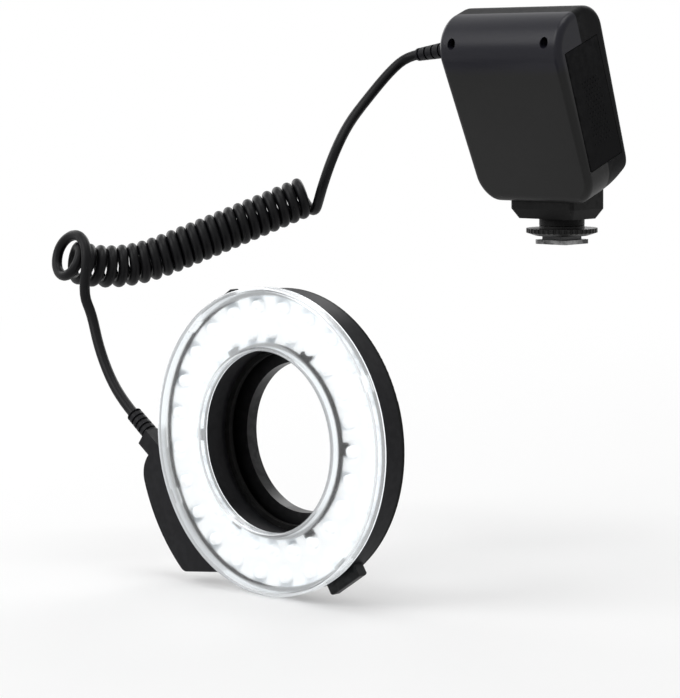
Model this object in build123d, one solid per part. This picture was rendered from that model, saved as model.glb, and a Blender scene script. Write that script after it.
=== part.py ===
from build123d import *
import os
from math import atan, atan2, cos, degrees, hypot, pi, radians, sin, tan

os.makedirs("parts", exist_ok=True)

# A macro ring flash: a lit ring head, a curly cord and a control unit on a camera hot-shoe foot.
# Millimetres, +Z up, -Y towards the subject, origin at the middle of the foot's underside.

# Where the ring head and the control unit stand
ring_reach = 198.4          # foot centre forward to the clear cover's front
ring_drop = 73.0            # foot underside down to the lens axis
unit_lean = 21.2            # degrees that the control unit leans towards the subject

# Fits and clearances
running_gap = 0.08          # radial play of a shaft
sliding_gap = 0.3           # play round a button, slider or door
seat_gap = 0.05             # play of a screw or plug in its hole

# Outer radius of the ring's housing, which the cover, lug, buttons and diodes follow
housing_radius = 63.8

# Clear cover, depths measured back from its front face
cover_overhang = 1.2        # of the cover past the housing
cover_radius = housing_radius + cover_overhang
cover_bore_radius = 38.5
cover_wall = 1.6
cover_depth = 5.6
cover_inner_depth = 4.65
cover_chamfer = 0.5
snap_tab_width = 7.0
snap_tab_thickness = 1.0
snap_tab_angles = (27, 133, 207, 313)

# Ring housing and its back cover
housing_wall = 2.0
bore_radius = 39.4
bore_wall = 1.8
web_front = 8.7
web_thickness = 1.4
back_cover_front = 16.3
back_cover_thickness = 2.2
back_edge_round = 1.0
lip_radius = 36.9           # the back cover's inner lip, seen through the bore
hub_radius = 46.9
hub_wall = 2.0
hub_length = 3.7
ring_screw_inset = 7.8
ring_screw_circle = housing_radius - ring_screw_inset
ring_screw_angles = (0, 90, 165, 270)
ring_screw_radius = 0.9
ring_screw_head_radius = 1.8
ring_screw_head = 1.0
ring_screw_length = 6.5
ring_boss_radius = 2.7

# Hooks that hold the cover's inner edge, seen as dark squares
hook_count = 6
hook_start_angle = 1
hook_width = 5.0
hook_height = 2.3
hook_front = 4.9

# Light-emitting diodes on their board, in a white reflector
led_count_per_ring = 24
led_inner_gap = 5.1         # from the bore's wall to the middle of the inner diodes
led_outer_gap = 4.8         # from the housing's wall to the middle of the outer ones
led_inner_circle = bore_radius + bore_wall + led_inner_gap
led_outer_circle = housing_radius - housing_wall - led_outer_gap
led_radius = 2.4
led_height = 5.0
board_thickness = 1.2
board_play = 0.4
reflector_thickness = 1.6
cup_radius = 4.9
cup_floor_radius = 3.0

# Lug on the housing, where the cord comes in
lug_stand = 18.0            # of the lug past the housing
lug_radius = housing_radius + lug_stand
lug_front = 4.0
lug_start_angle = 187.5
lug_end_angle = 229
lug_root_angle = 250        # where its lower edge meets the ring
lug_upper_corner = 12.0
lug_lower_corner = 4.5
lug_wall = 2.2
neck_width = 7.8
neck_length = 14.0
wire_hole_angle = 214
wire_hole_width = 6.0
wire_hole_depth = 3.0

# Release buttons, one each side of the ring
button_angles = {"right": -57, "left": 123}
button_width = 19.0
button_front = 10.4
button_depth = 4.8
button_stand = 4.6          # of the cap's outer face past the housing
button_reach = housing_radius + button_stand
button_round = 1.0
cap_inset = 6.3             # of the cap's inner face inside the housing
cap_inner_radius = housing_radius - cap_inset
release_travel = 2.2
arm_thickness = 2.0
arm_width = 2.4
arm_spread = 5.6            # from the middle of the button to each arm
bar_radius = 44.0
bar_thickness = 2.0
latch_width = 9.0
latch_reach = 48.2
latch_thickness = 1.3
latch_setback = 1.6         # from the back cover to the latch's nose
spring_post_radius = 48.4
spring_post_thickness = 1.8
spring_post_width = 5.0
release_spring_radius = 1.9
release_spring_wall = 0.5

# Lens adapter ring
adapter_radius = 51.0
adapter_floor = 1.8
adapter_groove_depth = 1.6
lens_thread_diameter = 67.0
lens_thread_length = 4.0
lens_thread_wall = 1.3
grip_notch_count = 36
grip_notch_radius = 0.8

# Control unit, in its own leaning frame: x across, y rearward, z along the lean
unit_half_top = 35.9
unit_half_bottom = 33.6
unit_bottom = 23.8
unit_top = 112.4
unit_front_low = -9.9
unit_front_high = -12.9
unit_rear_low = 20.9
unit_rear_high = 23.6
unit_rear_corner_z = 32.0
unit_knee_y = 8.0
unit_knee_z = 25.4
front_top_round = 17.0
rear_top_round = 12.0
low_round = 4.5
knee_round = 18.0
corner_round = 14.0
side_round = 3.0
shell_wall = 2.0
parting_y = 5.4

# Screws that hold the shells together
shell_screw_x = 27.3
shell_screw_z = 103.6
shell_screw_head_y = -4.4
shell_screw_radius = 1.1
shell_screw_head_radius = 1.45
shell_screw_head = 1.0
shell_screw_length = 18.0
screw_well_radius = 2.3
shell_boss_radius = 3.2

# Battery bay on the +X side: cells lie across, one above the other
cell_count = 4
cell_radius = 7.1
cell_length = 49.5
cell_pitch = 14.7
cell_nub_radius = 2.7
cell_nub_length = 1.0
cell_front_gap = 0.4
bay_bottom = 38.5
tray_wall = 1.4
cell_spring_length = 5.0
cell_spring_radius = 3.4
cell_spring_wall = 0.7
contact_thickness = 0.4
contact_width = 8.0

# Battery door, hinged along its front edge
door_front = -7.4
door_rear = 16.8
door_bottom = 40.0
door_top = 97.0
hinge_radius = 1.0
hinge_pin_radius = 0.5
hinge_pin_overlap = 3.0

# Rear panel in its own frame: x to the right and y up as seen from behind, z outwards
panel_centre_z = 72.0
window_width = 46.0
window_height = 25.0
window_y = 17.0
window_thickness = 1.4
window_ledge = 2.0
display_margin = 1.0
main_board_depth = 10.8     # from the rear face in to the board's far side
main_board_thickness = 1.6
main_board_half_width = 30.5
main_board_bottom = -31.0
main_board_top = 27.5
board_post_places = ((-27.0, 23.5), (27.0, 23.5), (-27.0, -27.0), (27.0, -27.0))
board_post_radius = 2.2
board_screw_radius = 0.8
board_screw_head_radius = 1.6
board_screw_head = 0.8
board_screw_reach = 5.0
chip_places = ((-14.0, 12.0, 9.0, 9.0), (4.0, 16.0, 12.0, 6.0), (18.0, 4.0, 5.0, 8.0), (-2.0, -14.0, 7.0, 7.0))
chip_height = 1.5
key_width = 10.0
key_height = 5.4
key_y = -6.0
key_spacing = 15.0
key_names = ("mode", "minus", "plus", "light")
key_stand = 1.3
key_travel = 0.6
flange_margin = 1.0
flange_thickness = 1.0
test_key_radius = 3.4
test_key_x = 20.0
test_key_y = -22.0
tact_size = 6.0
tact_height = 3.4
tact_well_radius = 1.8
tact_well_depth = 2.2
plunger_radius = 1.5
switch_x = -12.0
switch_y = -22.0
switch_slot_width = 12.0
switch_slot_height = 4.6
switch_travel = 4.0
switch_thumb_width = 7.4
switch_stand = 1.4

# Foot: block, hot-shoe plate, locking wheel and centre contact
block_bottom = 12.0
block_flare_height = 4.6
block_top = 30.0
block_half_width = 16.0
block_front = -13.2
block_rear = 6.2
block_flare = 2.6
collar_radius = 10.6
collar_bottom = 8.7
shoe_width = 18.6
shoe_length = 18.0
shoe_thickness = 2.0
shoe_corner = 1.5
shoe_neck_width = 12.2
shoe_neck_length = 14.0
rail_thickness = 1.6
core_radius = 6.0
core_top = 18.0
wheel_radius = 16.65
wheel_rim = 2.0
wheel_cone_height = 1.4
wheel_cone_radius = 12.4
wheel_play = 0.3
wheel_notch_count = 40
wheel_notch_radius = 0.7
contact_radius = 1.1
contact_travel = 0.5
contact_head_radius = 1.9
contact_head = 1.0
contact_step = 2.6
contact_bore_top = 9.0
contact_spring_wall = 0.4
foot_screw_x = 12.6
foot_screw_radius = 1.2
foot_screw_head_radius = 2.1
foot_screw_head = 1.4
foot_screw_length = 21.0
foot_boss_radius = 3.2
foot_boss_top = 35.0

# Strain reliefs
cord_radius = 2.05
relief_groove_count = 5
relief_groove_width = 1.1
relief_groove_depth = 0.7
unit_relief_y = -4.5
unit_relief_z = 99.5
unit_relief_seat = 4.36512  # from the unit's side in to the relief's inner end
unit_relief_length = 22.3
unit_relief_radius = 4.0
unit_relief_tip_radius = 3.0
unit_relief_droop = 7.0     # degrees below level
relief_flange_radius = 4.7
relief_flange = 1.4
ring_relief_radius = 3.7
ring_relief_tip_radius = 3.5
relief_base_inset = 2.5     # of the relief's seat inside the lug's edge
relief_tip_stand = 8.9      # of its tip past that edge
relief_base_drop = 4.9      # of the seat below the lens axis
relief_tip_rise = 3.5       # of the tip above it
ring_relief_base = (relief_base_inset - lug_radius, -relief_base_drop)      # x and z from the lens axis
ring_relief_tip = (-lug_radius - relief_tip_stand, relief_tip_rise)
ring_relief_depth = 10.0
ring_relief_plug_radius = 2.9
ring_relief_plug = 4.0

# The curly stretch of the cord winds about an axis that these four points pull into a bow
coil_axis_points = (
    (-79.1, -87.5, 24.2),
    (-103.3, -124.6, 6.6),
    (-134.0, -163.1, -11.9),
    (-141.8, -185.9, -2.1),
)
coil_turns = 24
coil_first_turn = 0.125     # part of a turn at which the straight cord runs into the coil
coil_radius_start = 7.12    # at the control unit's end
coil_radius_end = 7.42      # at the ring head's end
coil_pitch_growth = 0.098    # the coil hangs more open at the ring head's end
coil_pitch_swell = 0.0121    # and at both ends than in the middle
lead_in_shift = 2.8         # the cord comes in from beside the first turn
lead_in_turns = 0.3
first_turn_rise = 0.3       # the first turn stands a little proud
first_turn_settle = 0.8
end_loop_swing = 1.1        # the last turn is an open loop that swings out past the rest
end_loop_swing_power = 1.6  # how sharply it does so
end_loop_return = 10.0      # and crosses back in front of them
end_loop_return_start = 0.55
end_loop_return_turns = 0.6
end_loop_rise = 5.5         # and is larger than they are
end_loop_rise_start = 0.3
end_loop_rise_turns = 0.65
arcs_per_turn = 4

# Free stretches of the cord, as points that their straight runs pass through
tail_exit = 8.5             # from a strain relief to the first of them
tail_lead = 10.0            # from the coil's end to the first of them
upper_route = (
    (-64.1, -48.5, 80.7),
    (-65.9, -62.5, 67.8),
    (-64.8, -76.5, 56.7),
    (-61.0, -90.0, 43.8),
)
lower_route = (
    (-124.3, -183.0, -27.0),
    (-117.8, -185.0, -41.1),
    (-108.1, -187.0, -54.7),
)

ring_frame = Plane(origin=(0, -ring_reach, -ring_drop), x_dir=(1, 0, 0), z_dir=(0, -1, 0))
lean = radians(unit_lean)
unit_frame = Plane(origin=(0, 0, 0), x_dir=(1, 0, 0), z_dir=(0, -sin(lean), cos(lean)))
rear_slope = (unit_rear_high - unit_rear_low) / (unit_top - unit_rear_corner_z)
side_slope = (unit_half_top - unit_half_bottom) / (unit_top - unit_bottom)
panel_y = unit_rear_low + rear_slope * (panel_centre_z - unit_rear_corner_z)
panel_frame = Plane(
    origin=(0, panel_y, panel_centre_z),
    x_dir=(-1, 0, 0),
    z_dir=(0, cos(atan(rear_slope)), -sin(atan(rear_slope))),
)

web_back = web_front + web_thickness
board_front = web_front - board_thickness
reflector_front = board_front - reflector_thickness
plate_inner = bore_radius + bore_wall + board_play
plate_outer = housing_radius - housing_wall - board_play
back_cover_back = back_cover_front + back_cover_thickness
hub_back = back_cover_back + hub_length
button_back = button_front + button_depth
button_middle = button_front + button_depth / 2
latch_front = back_cover_back + latch_setback
latch_back = latch_front + latch_thickness
adapter_front = back_cover_back + sliding_gap
adapter_floor_front = hub_back + sliding_gap
adapter_back = adapter_floor_front + adapter_floor
core_socket_radius = core_radius + seat_gap
wheel_bottom = shoe_thickness + rail_thickness + wheel_play
wheel_top = collar_bottom - wheel_play
nodes = {}


def keep(name, shape, frame=None):
    """Set a piece in the object's frame and keep it under its node name."""
    nodes[name] = frame * shape if frame else shape


def unit_half_width(z):
    return unit_half_bottom + side_slope * (z - unit_bottom)


def annulus(inner, outer, front, back):
    """Ring-shaped slab about the lens axis, between two depths."""
    face = Circle(outer) - Circle(inner) if inner else Circle(outer)
    return Pos(0, 0, -back) * extrude(face, back - front)


def radial_box(angle, inner, outer, width, front, back):
    """Block that points out from the lens axis at an angle."""
    block = Box(outer - inner, width, back - front)
    return Rot(0, 0, angle) * Pos((inner + outer) / 2, 0, -(front + back) / 2) * block


def ring_point(angle, radius):
    return radius * cos(radians(angle)), radius * sin(radians(angle))


def on_circle(angle, radius):
    return Pos(*ring_point(angle, radius))


def post(radius, front, back):
    """Round bar along the lens axis, between two depths."""
    return Pos(0, 0, -(front + back) / 2) * Cylinder(radius, back - front)


def clear_cover():
    body = annulus(cover_bore_radius, cover_radius, 0, cover_wall)
    body = chamfer(body.edges().group_by(Axis.Z)[-1], cover_chamfer)
    body += annulus(cover_radius - cover_wall, cover_radius, cover_wall / 2, cover_depth)
    body += annulus(cover_bore_radius, cover_bore_radius + cover_wall, cover_wall / 2, cover_inner_depth)
    inner = cover_radius - cover_wall - snap_tab_thickness
    for angle in snap_tab_angles:
        body += radial_box(angle, inner, cover_radius - cover_wall / 2, snap_tab_width,
                           cover_wall / 2, cover_depth - sliding_gap)
    return body


def led_places():
    step = 360 / led_count_per_ring
    inner = [on_circle(step * i, led_inner_circle) for i in range(led_count_per_ring)]
    outer = [on_circle(step * (i + 0.5), led_outer_circle) for i in range(led_count_per_ring)]
    return inner + outer


def hook_angles():
    return [hook_start_angle + 360 / hook_count * i for i in range(hook_count)]


def hook_clearances(front, back):
    """Room for the hooks in a plate that they pass."""
    outer = bore_radius + bore_wall + hook_height + sliding_gap
    width = hook_width + 2 * sliding_gap
    return [radial_box(a, bore_radius, outer, width, front - 1, back + 1) for a in hook_angles()]


def led_board():
    return annulus(plate_inner, plate_outer, board_front, web_front) - hook_clearances(board_front, web_front)


def reflector():
    body = annulus(plate_inner, plate_outer, reflector_front, board_front)
    middle = -(reflector_front + board_front) / 2
    cup = Pos(0, 0, middle) * Cone(cup_floor_radius, cup_radius, reflector_thickness)
    body -= [place * cup for place in led_places()]
    return body - hook_clearances(reflector_front, board_front)


def leds():
    stem = led_height - led_radius
    lamp = Pos(0, 0, -board_front) * extrude(Circle(led_radius), stem)
    cap = Pos(0, 0, -board_front + stem) * Sphere(led_radius, arc_size1=0)
    lamp = lamp + cap
    return Compound([place * lamp for place in led_places()])


def lug_outline():
    """Rounded sector that the cord comes into, concentric with the ring."""
    inner = housing_radius - housing_wall
    middle = (lug_start_angle + lug_end_angle) / 2
    root_middle = (lug_start_angle + lug_root_angle) / 2
    rim = [ring_point(a, lug_radius) for a in (lug_start_angle, middle, lug_end_angle)]
    root = [ring_point(a, inner) for a in (lug_start_angle, root_middle, lug_root_angle)]
    edges = [Line(root[0], rim[0]), ThreePointArc(*rim), Line(rim[2], root[2])]
    face = make_face(edges + [ThreePointArc(*reversed(root))])
    face = fillet(face.vertices().sort_by_distance(rim[0])[0], lug_upper_corner)
    return fillet(face.vertices().sort_by_distance(rim[2])[0], lug_lower_corner)


def relief_angle():
    rise = ring_relief_tip[1] - ring_relief_base[1]
    run = ring_relief_tip[0] - ring_relief_base[0]
    return degrees(atan2(rise, run))


def neck_outline():
    """Short arm of the lug that points along the cord's strain relief."""
    base = Pos(*ring_relief_base) * Rot(0, 0, relief_angle())
    return base * Pos(-neck_length / 2, 0) * Rectangle(neck_length, neck_width)


def lug_slab(outline, front, back):
    """Slab of an outline between two depths, outside the housing's wall."""
    solid = Pos(0, 0, -back) * extrude(outline, back - front)
    return solid - annulus(0, housing_radius - housing_wall / 2, front - 1, back + 1)


def relief_place():
    """Frame at the strain relief's seat on the lug, with +X out along the relief."""
    seat = Pos(ring_relief_base[0], ring_relief_base[1], -ring_relief_depth)
    return seat * Rot(0, 0, relief_angle())


def ring_housing():
    body = annulus(housing_radius - housing_wall, housing_radius, cover_depth, back_cover_front)
    body += annulus(bore_radius, bore_radius + bore_wall, cover_inner_depth, back_cover_front)
    body += annulus(bore_radius + bore_wall / 2, housing_radius - housing_wall / 2, web_front, web_back)
    for angle in hook_angles():
        body += radial_box(angle, bore_radius + bore_wall / 2, bore_radius + bore_wall + hook_height,
                           hook_width, hook_front, web_back)
    lug = lug_slab(lug_outline() + neck_outline(), lug_front, back_cover_front)
    lug -= annulus(0, cover_radius + sliding_gap, lug_front - 1, cover_depth + sliding_gap)
    lug -= lug_slab(offset(lug_outline(), -lug_wall), lug_front + lug_wall, back_cover_front + 1)
    plug_hole = Rot(0, 90, 0) * Cylinder(ring_relief_plug_radius + seat_gap, 2 * neck_length)
    lug -= relief_place() * plug_hole
    body += lug
    wire_middle = (web_back + back_cover_front) / 2
    body -= radial_box(wire_hole_angle, housing_radius - 2 * housing_wall, housing_radius + housing_wall,
                       wire_hole_width, wire_middle - wire_hole_depth / 2, wire_middle + wire_hole_depth / 2)
    for angle in button_angles.values():
        body -= radial_box(angle, housing_radius - 2 * housing_wall, housing_radius + housing_wall,
                           button_width + 2 * sliding_gap, web_back, button_back + sliding_gap)
        body += radial_box(angle, spring_post_radius, spring_post_radius + spring_post_thickness,
                           spring_post_width, web_front + web_thickness / 2, button_back)
    boss = post(ring_boss_radius, web_front + web_thickness / 2, back_cover_front)
    hole = post(ring_screw_radius + seat_gap, web_back, back_cover_front + 1)
    for angle in ring_screw_angles:
        body += on_circle(angle, ring_screw_circle) * boss
        body -= on_circle(angle, ring_screw_circle) * hole
    return body


def latch_slot(angle):
    """Way through the back cover and its hub for a latch and its travel."""
    width = latch_width + 2 * sliding_gap
    inner = bar_radius - release_travel - sliding_gap
    outer = bar_radius + bar_thickness + sliding_gap
    slot = radial_box(angle, inner, outer, width, back_cover_front - 1, latch_back + sliding_gap)
    return slot + radial_box(angle, inner, hub_radius + 1, width, back_cover_back, latch_back + sliding_gap)


def ring_back_cover():
    plate = annulus(lip_radius, housing_radius, back_cover_front, back_cover_back)
    rear_edge = plate.edges().group_by(Axis.Z)[0].sort_by(SortBy.RADIUS)[-1]
    body = fillet(rear_edge, back_edge_round)
    body += lug_slab(lug_outline() + neck_outline(), back_cover_front, back_cover_back)
    body += annulus(hub_radius - hub_wall, hub_radius, back_cover_back - 1, hub_back)
    well = post(ring_screw_head_radius + seat_gap, back_cover_back - ring_screw_head, back_cover_back + 1)
    hole = post(ring_screw_radius + seat_gap, back_cover_front - 1, back_cover_back)
    for angle in ring_screw_angles:
        body -= on_circle(angle, ring_screw_circle) * (well + hole)
    for angle in button_angles.values():
        body -= latch_slot(angle)
    return body


def ring_screws():
    head_front = back_cover_back - ring_screw_head
    screw = post(ring_screw_head_radius, head_front, back_cover_back)
    screw += post(ring_screw_radius, head_front - ring_screw_length, head_front)
    return Compound([on_circle(a, ring_screw_circle) * screw for a in ring_screw_angles])


def release_button(angle):
    cap = Box(button_reach - cap_inner_radius, button_width, button_depth)
    cap = Pos((button_reach + cap_inner_radius) / 2, 0, -button_middle) * cap
    outer_face = cap.faces().sort_by(Axis.X)[-1]
    body = fillet(outer_face.edges(), button_round)
    arm_front = button_middle - arm_thickness / 2
    arm_back = button_middle + arm_thickness / 2
    bar_outer = bar_radius + bar_thickness
    for side in (-1, 1):
        arm = radial_box(0, bar_outer - 1, cap_inner_radius + 1, arm_width, arm_front, arm_back)
        body += Pos(0, side * arm_spread, 0) * arm
    body += radial_box(0, bar_radius, bar_outer, 2 * arm_spread + arm_width, arm_front, arm_back)
    body += radial_box(0, bar_radius, bar_outer, latch_width, arm_front, latch_back)
    body += radial_box(0, bar_radius, latch_reach, latch_width, latch_front, latch_back)
    return Rot(0, 0, angle) * body


def release_spring(angle):
    start = spring_post_radius + spring_post_thickness
    length = cap_inner_radius - start
    coil = extrude(Circle(release_spring_radius) - Circle(release_spring_radius - release_spring_wall), length)
    return Rot(0, 0, angle) * Pos(start, 0, -button_middle) * Rot(0, 90, 0) * coil


def adapter_ring():
    inner = hub_radius + running_gap
    bore = lens_thread_diameter / 2 - lens_thread_wall
    body = annulus(inner, adapter_radius, adapter_front, adapter_floor_front)
    body -= annulus(inner - 1, latch_reach + sliding_gap, latch_front - sliding_gap, latch_back + sliding_gap)
    body += annulus(bore, adapter_radius, adapter_floor_front, adapter_back)
    notch = post(grip_notch_radius, adapter_front - 1, adapter_back + 1)
    for i in range(grip_notch_count):
        body -= on_circle(360 / grip_notch_count * i, adapter_radius) * notch
    return body + annulus(bore, lens_thread_diameter / 2, adapter_back - 1, adapter_back + lens_thread_length)


def relief_profile(seat_radius, tip_radius, length):
    """Half section of a tapering strain relief with grooves, along +X from its seat."""
    points = [(0, 0), (0, seat_radius)]
    pitch = length / relief_groove_count
    for i in range(relief_groove_count):
        start = pitch * (i + 0.5)
        end = start + relief_groove_width
        for x in (start, end):
            surface = seat_radius + (tip_radius - seat_radius) * x / length
            dip = surface - relief_groove_depth
            points += [(x, surface), (x, dip)] if x == start else [(x, dip), (x, surface)]
    return points + [(length, tip_radius), (length, 0)]


def strain_relief(seat_radius, tip_radius, length):
    profile = make_face(Polyline(*relief_profile(seat_radius, tip_radius, length), close=True))
    return revolve(profile, Axis.X)


def ring_strain_relief():
    length = hypot(ring_relief_tip[0] - ring_relief_base[0], ring_relief_tip[1] - ring_relief_base[1])
    body = strain_relief(ring_relief_radius, ring_relief_tip_radius, length)
    plug = Pos(-ring_relief_plug / 2, 0, 0) * Rot(0, 90, 0) * Cylinder(ring_relief_plug_radius, ring_relief_plug)
    return relief_place() * (body + plug)


def unit_relief_frame():
    """Frame at the unit's strain relief, with +X out along the relief."""
    inside = unit_half_width(unit_relief_z) - unit_relief_seat
    seat = unit_frame.from_local_coords(Vector(-inside, unit_relief_y, unit_relief_z))
    droop = radians(unit_relief_droop)
    out = Vector(-cos(droop), 0, -sin(droop))
    return Plane(origin=seat, x_dir=out, z_dir=Vector(-sin(droop), 0, cos(droop)))


def unit_strain_relief():
    body = strain_relief(unit_relief_radius, unit_relief_tip_radius, unit_relief_length)
    return body + Pos(relief_flange / 2, 0, 0) * Rot(0, 90, 0) * Cylinder(relief_flange_radius, relief_flange)


def inset_corners(points, inset):
    """Corners of a convex outline moved in by a wall, given clockwise or anticlockwise."""
    count = len(points)
    middle = sum((Vector(*p) for p in points), Vector()) / count
    lines = []
    for i, p in enumerate(points):
        start = Vector(*p)
        along = (Vector(*points[(i + 1) % count]) - start).normalized()
        inward = Vector(-along.Y, along.X)
        if inward.dot(middle - start) < 0:
            inward = inward * -1
        lines.append((start + inward * inset, along))
    corners = []
    for i in range(count):
        (a, u), (b, v) = lines[i - 1], lines[i]
        reach = ((b.X - a.X) * v.Y - (b.Y - a.Y) * v.X) / (u.X * v.Y - u.Y * v.X)
        corner = a + u * reach
        corners.append((corner.X, corner.Y))
    return corners


def rounded_outline(points, rounds, inset):
    """Face inside a wall of an outline, with each corner's round less the wall."""
    corners = inset_corners(points, inset)
    face = make_face(Polyline(*corners, close=True))
    for corner, radius in zip(corners, rounds):
        if radius > inset:
            face = fillet(face.vertices().sort_by_distance(corner)[0], radius - inset)
    return face


def unit_form(inset):
    """The control unit's outer form, or the hollow in it."""
    side_points = [
        (unit_front_low, unit_bottom),
        (unit_knee_y, unit_knee_z),
        (unit_rear_low, unit_rear_corner_z),
        (unit_rear_high, unit_top),
        (unit_front_high, unit_top),
    ]
    side_rounds = [low_round, knee_round, low_round, rear_top_round, front_top_round]
    front_points = [
        (-unit_half_bottom, unit_bottom),
        (unit_half_bottom, unit_bottom),
        (unit_half_top, unit_top),
        (-unit_half_top, unit_top),
    ]
    front_rounds = [corner_round, corner_round, 0, 0]
    side = Plane.YZ * rounded_outline(side_points, side_rounds, inset)
    front = Plane.XZ * rounded_outline(front_points, front_rounds, inset)
    across = 2 * unit_half_top
    body = extrude(side, across, both=True) & extrude(front, across, both=True)
    round_faces = [f for f in body.faces() if abs(f.normal_at(f.center()).X) > 0.25]
    shared = [e for f in round_faces for e in f.edges()]
    rim = [e for e in shared if sum(1 for o in shared if o.is_same(e)) == 1]
    return fillet(rim, side_round - inset / 2)


def door_room(gap):
    """Space that the battery door takes in the +X wall, with a gap round it."""
    across = unit_half_top
    room = Box(across, door_rear - door_front + 2 * gap, door_top - door_bottom + 2 * gap)
    return Pos(across, (door_rear + door_front) / 2, (door_top + door_bottom) / 2) * room


def hinge_place():
    """Frame at the middle of the battery door's hinge pin, with +Z along the pin."""
    middle = (door_top + door_bottom) / 2
    x = unit_half_width(middle) - hinge_radius
    return Pos(x, door_front + hinge_radius, middle) * Rot(0, degrees(atan(side_slope)), 0)


def hinge_pin_length():
    return door_top - door_bottom + 2 * hinge_pin_overlap


def unit_shells(outer, hollow):
    walls = outer - hollow
    walls -= door_room(sliding_gap)
    walls -= hinge_place() * Cylinder(hinge_pin_radius + seat_gap, hinge_pin_length())
    reach = 4 * unit_top
    front_half = Pos(0, parting_y - reach / 2, 0) * Box(reach, reach, reach)
    front = walls & front_half
    rear = walls - front_half
    for side in (-1, 1):
        column = Pos(side * shell_screw_x, 0, shell_screw_z) * Rot(-90, 0, 0)
        boss = column * Pos(0, 0, -2 * front_top_round) * extrude(Circle(shell_boss_radius), 4 * front_top_round)
        boss = boss & outer
        front += boss & front_half
        rear += boss - front_half
        well = column * Pos(0, 0, shell_screw_head_y) * extrude(Circle(screw_well_radius), -front_top_round)
        hole = column * Pos(0, 0, shell_screw_head_y) * extrude(
            Circle(shell_screw_radius + seat_gap), shell_screw_length + seat_gap)
        front -= well + hole
        rear -= hole
    return front, rear


def shell_screws():
    screws = []
    for side in (-1, 1):
        column = Pos(side * shell_screw_x, 0, shell_screw_z) * Rot(-90, 0, 0) * Pos(0, 0, shell_screw_head_y)
        head = column * extrude(Circle(shell_screw_head_radius), -shell_screw_head)
        shank = column * extrude(Circle(shell_screw_radius), shell_screw_length)
        screws.append(head + shank)
    return Compound(screws)


def cell_centres():
    wall = unit_front_low + shell_wall / cos(atan((unit_front_low - unit_front_high) / (unit_top - unit_bottom)))
    y = wall + cell_front_gap + cell_radius
    return [(y, bay_bottom + cell_pitch * (i + 0.5)) for i in range(cell_count)]


def cell_end_x():
    """Where the cells' +X ends stop, just inside the battery door."""
    return unit_half_width(door_bottom) - shell_wall - contact_thickness - cell_front_gap


def battery_cells():
    cells = []
    for i, (y, z) in enumerate(cell_centres()):
        body_end = cell_end_x() - cell_nub_length
        place = Pos(body_end - cell_length / 2, y, z) * Rot(0, 90, 0)
        cell = Cylinder(cell_radius, cell_length)
        nub = Pos(0, 0, (cell_length + cell_nub_length) / 2) * Cylinder(cell_nub_radius, cell_nub_length)
        cells.append(place * (cell + nub))
    return Compound(cells)


def tray_end_x():
    return cell_end_x() - cell_nub_length - cell_length - cell_spring_length


def battery_tray():
    y = cell_centres()[0][0]
    back = y + cell_radius + sliding_gap
    top = bay_bottom + cell_pitch * cell_count
    front = y - cell_radius - cell_front_gap + sliding_gap
    length = cell_end_x() - 1 - tray_end_x() + tray_wall
    x = tray_end_x() - tray_wall + length / 2
    outside = Box(length, back - front + tray_wall, top - bay_bottom + 2 * tray_wall)
    inside = Box(length, back - front, top - bay_bottom)
    middle = (top + bay_bottom) / 2
    tray = Pos(x, (front + back + tray_wall) / 2, middle) * outside
    return tray - Pos(x + tray_wall, (front + back) / 2, middle) * inside


def cell_springs():
    coil = Circle(cell_spring_radius) - Circle(cell_spring_radius - cell_spring_wall)
    coil = Rot(0, 90, 0) * extrude(coil, cell_spring_length)
    return Compound([Pos(tray_end_x(), y, z) * coil for y, z in cell_centres()])


def door_pads(outer):
    """Blocks on the door's inner face that carry the contacts."""
    start = cell_end_x() + cell_front_gap / 2 + contact_thickness
    length = unit_half_top - start
    pads = []
    centres = cell_centres()
    for low in range(0, cell_count, 2):
        y, z = centres[low]
        box = Box(length, contact_width + 1, cell_pitch + contact_width + 1)
        pads.append(Pos(start + length / 2, y, z + cell_pitch / 2) * box & outer)
    return pads


def door_contacts():
    start = cell_end_x() + cell_front_gap / 2
    plates = []
    centres = cell_centres()
    for low in range(0, cell_count, 2):
        y, z = centres[low]
        plate = Box(contact_thickness, contact_width, cell_pitch + contact_width)
        plates.append(Pos(start + contact_thickness / 2, y, z + cell_pitch / 2) * plate)
    return Compound(plates)


def battery_door(outer, hollow):
    panel = (outer - hollow) & door_room(0)
    behind_hinge = Pos(0, door_front + hinge_radius - unit_top / 2, 0) * Box(4 * unit_top, unit_top, 4 * unit_top)
    body = panel - behind_hinge
    body += hinge_place() * Cylinder(hinge_radius, door_top - door_bottom)
    for pad in door_pads(outer):
        body += pad
    return body - hinge_place() * Cylinder(hinge_pin_radius + running_gap, hinge_pin_length())


def hinge_pin():
    return hinge_place() * Cylinder(hinge_pin_radius, hinge_pin_length())


def panel_box(x, y, width, height, low, high):
    """Block in the rear panel's frame, between two heights over the rear face."""
    return Pos(x, y, (low + high) / 2) * Box(width, height, high - low)


def panel_rod(x, y, radius, low, high):
    return Pos(x, y, (low + high) / 2) * Cylinder(radius, high - low)


def key_places():
    start = -key_spacing * (len(key_names) - 1) / 2
    return {name: (start + key_spacing * i, key_y) for i, name in enumerate(key_names)}


def key_cap(x, y):
    body = panel_box(x, y, key_width, key_height, -shell_wall, key_stand)
    return fillet(body.edges().group_by(Axis.Z)[-1], key_stand / 3)


def push_stem(x, y, flange):
    """Retaining flange and plunger that a push button has behind the panel."""
    flange_top = -shell_wall - sliding_gap
    flange_low = flange_top - flange_thickness
    tip = key_travel + sliding_gap - main_board_depth + main_board_thickness + tact_height - tact_well_depth
    stem = panel_rod(x, y, plunger_radius, tip, flange_low + flange_thickness / 2)
    return stem + flange(flange_low, flange_top)


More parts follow.
